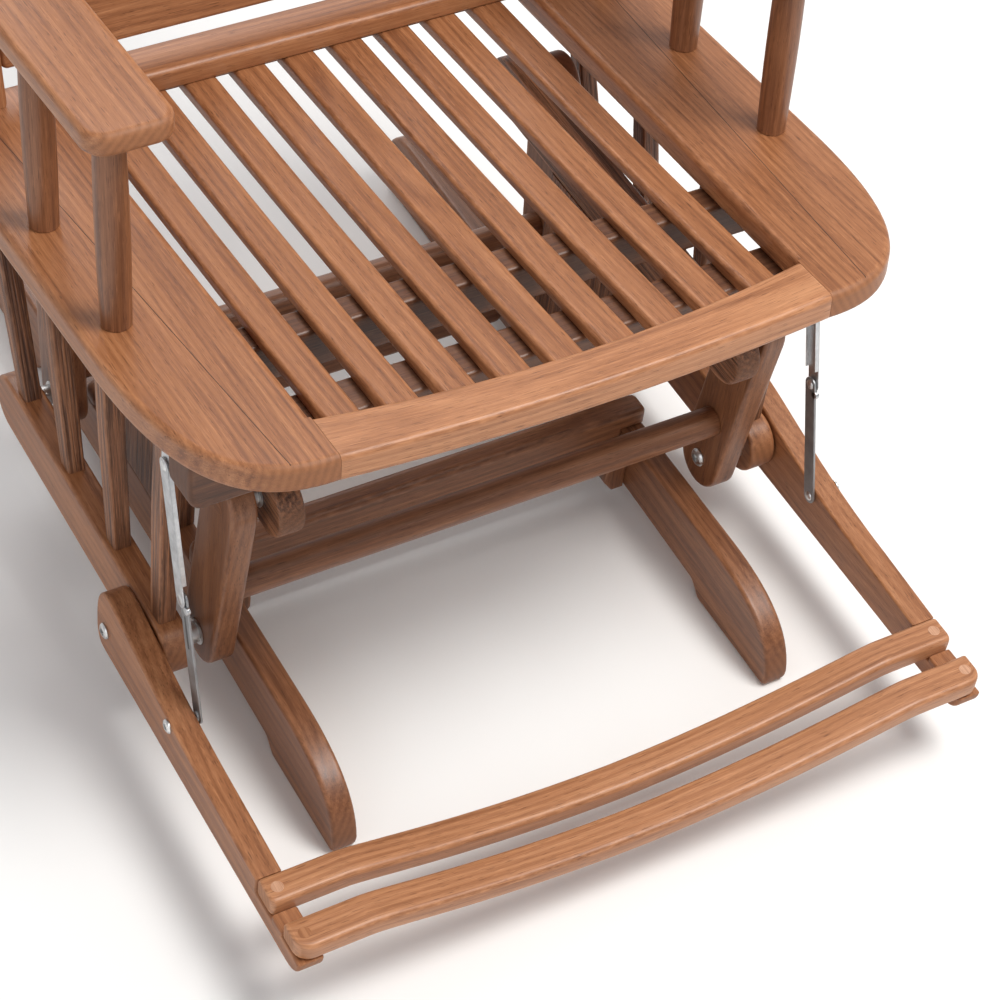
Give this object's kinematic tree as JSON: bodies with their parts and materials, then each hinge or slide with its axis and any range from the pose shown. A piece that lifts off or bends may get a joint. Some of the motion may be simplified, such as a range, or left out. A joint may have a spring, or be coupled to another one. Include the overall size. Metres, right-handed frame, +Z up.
{
  "type": "glider rocking chair",
  "caption": "Wooden glider rocking chair with a slatted seat on swing links, armrests on posts and a folding footrest.",
  "frame": {"origin": "centre of the overall box, on the floor", "axes": "+Z up, the sitter faces -Y, +X to the sitter's left"},
  "size_m": [0.746, 0.9772, 1.0418],
  "materials": {
    "wood": "satin",
    "wood_light": "satin",
    "wood_dark": "satin",
    "bolt_steel": "satin",
    "stay_steel": "matte"
  },
  "bodies": {
    "base": {"runner_left": "wood_dark", "runner_right": "wood_dark", "upright_left": "wood_dark", "upright_right": "wood_dark", "top_rail_left": "wood_dark", "top_rail_right": "wood_dark", "front_cross_panel": "wood", "rear_cross_panel": "wood", "front_top_bolt_left": "bolt_steel", "front_top_bolt_right": "bolt_steel", "rear_top_bolt_left": "bolt_steel", "rear_top_bolt_right": "bolt_steel"},
    "front_swing": {"front_link_left": "wood", "front_link_right": "wood", "front_stretcher": "wood"},
    "rear_swing": {"rear_link_left": "wood", "rear_link_right": "wood", "rear_stretcher": "wood"},
    "seat": {"seat_board_left": "wood", "seat_board_right": "wood", "front_rail": "wood_light", "rear_rail": "wood", "slat_1": "wood", "slat_2": "wood", "slat_3": "wood", "slat_4": "wood", "slat_5": "wood", "slat_6": "wood", "slat_7": "wood", "slat_8": "wood", "slat_9": "wood", "front_beam": "wood_dark", "middle_beam": "wood_dark", "lower_frame_left": "wood_dark", "lower_frame_right": "wood_dark", "post_front_left": "wood", "post_front_right": "wood", "post_middle_left": "wood", "post_middle_right": "wood", "post_rear_left": "wood", "post_rear_right": "wood", "armrest_left": "wood_light", "armrest_right": "wood_light", "back_stile_left": "wood", "back_stile_right": "wood", "back_panel": "wood", "front_low_bolt_left": "bolt_steel", "front_low_bolt_right": "bolt_steel", "rear_low_bolt_left": "bolt_steel", "rear_low_bolt_right": "bolt_steel"},
    "footrest": {"footrest_arm_left": "wood", "footrest_arm_right": "wood", "footrest_bar_rear": "wood_light", "footrest_bar_front": "wood_light", "footrest_bolt_left": "bolt_steel", "footrest_bolt_right": "bolt_steel"},
    "stay_uppers": {"stay_upper_left": "stay_steel", "stay_upper_right": "stay_steel"},
    "stay_lowers": {"stay_lower_left": "stay_steel", "stay_lower_right": "stay_steel"}
  },
  "joints": [
    {"name": "glide", "type": "hinge", "parent": "base", "child": "front_swing", "pos_m": [0, -0.15964, 0.3], "axis": [1, 0, 0], "range_deg": [-14, 14]},
    {"name": "rear_link_swing", "type": "hinge", "parent": "base", "child": "rear_swing", "pos_m": [0, 0.21936, 0.3], "axis": [1, 0, 0], "range_deg": [-14, 14]},
    {"name": "seat_level", "type": "hinge", "parent": "front_swing", "child": "seat", "pos_m": [0, -0.13464, 0.104], "axis": [1, 0, 0], "range_deg": [-16.5, 16.5]},
    {"name": "footrest_fold", "type": "hinge", "parent": "seat", "child": "footrest", "pos_m": [0, -0.09364, 0.095], "axis": [-1, 0, 0], "range_deg": [0, 50]},
    {"name": "stay_upper_turn", "type": "hinge", "parent": "seat", "child": "stay_uppers", "pos_m": [0, -0.14964, 0.361], "axis": [-1, 0, 0], "range_deg": [0, 41]},
    {"name": "stay_lower_turn", "type": "hinge", "parent": "footrest", "child": "stay_lowers", "pos_m": [0, -0.22814, 0.111], "axis": [1, 0, 0], "range_deg": [0, 118.5]}
  ],
  "couplings": [
    {"joint": "rear_link_swing", "follows": "glide", "ratio": 1},
    {"joint": "seat_level", "follows": "glide", "ratio": -1.152},
    {"joint": "stay_upper_turn", "follows": "footrest_fold", "ratio": 0.808},
    {"joint": "stay_lower_turn", "follows": "footrest_fold", "ratio": 2.36}
  ]
}
